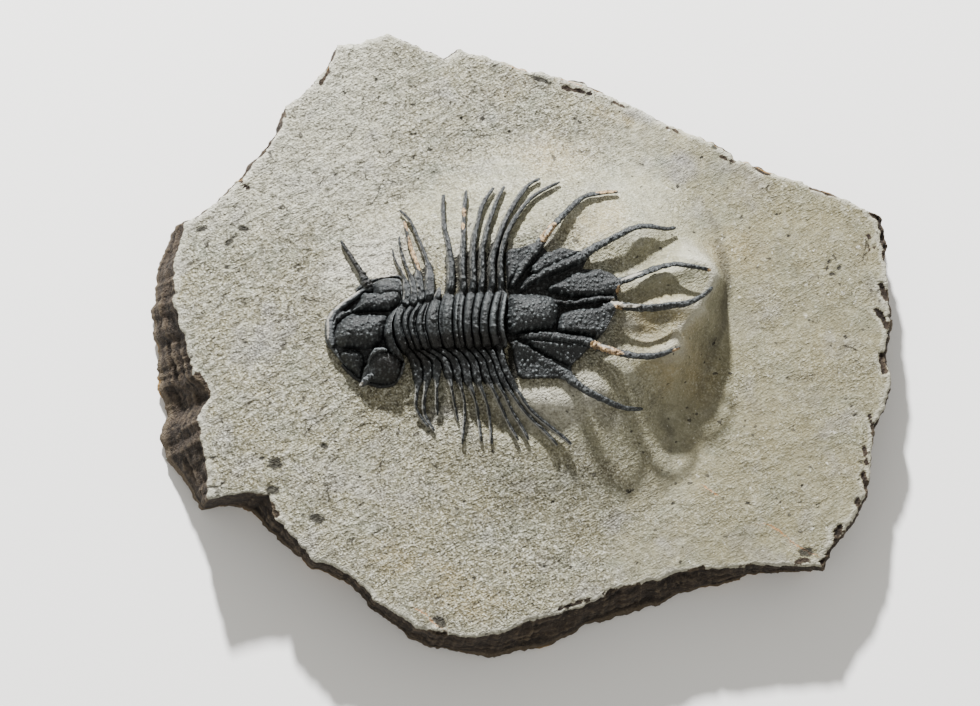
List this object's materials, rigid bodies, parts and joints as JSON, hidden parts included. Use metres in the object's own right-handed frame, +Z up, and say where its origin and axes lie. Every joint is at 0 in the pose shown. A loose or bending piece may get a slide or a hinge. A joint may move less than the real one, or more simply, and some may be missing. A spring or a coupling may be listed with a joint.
{
  "type": "trilobite fossil on a stone slab",
  "caption": "Spiny trilobite, black, prepared free on a carved pedestal of its own rough grey limestone slab, lying face up; a display fossil that rests on the slab's flat underside.",
  "frame": {"origin": "centre of the whole part's bounding box in plan, on the plane the slab rests on", "axes": "+X from the trilobite's head towards its tail, +Y towards the animal's right side, +Z up out of the slab's flat underside"},
  "size_m": [0.1794, 0.1514, 0.0349],
  "materials": {
    "limestone": "matt, tooled and roughly broken",
    "shell": "matt black calcite, faintly waxy on worn ridges"
  },
  "bodies": {
    "root": {"matrix": "limestone", "cranidium": "shell", "free_cheek_left": "shell", "free_cheek_right": "shell", "thorax_segment_01": "shell", "thorax_segment_02": "shell", "thorax_segment_03": "shell", "thorax_segment_04": "shell", "thorax_segment_05": "shell", "thorax_segment_06": "shell", "thorax_segment_07": "shell", "thorax_segment_08": "shell", "thorax_segment_09": "shell", "thorax_segment_10": "shell", "thorax_segment_11": "shell", "pygidium": "shell"}
  },
  "joints": []
}
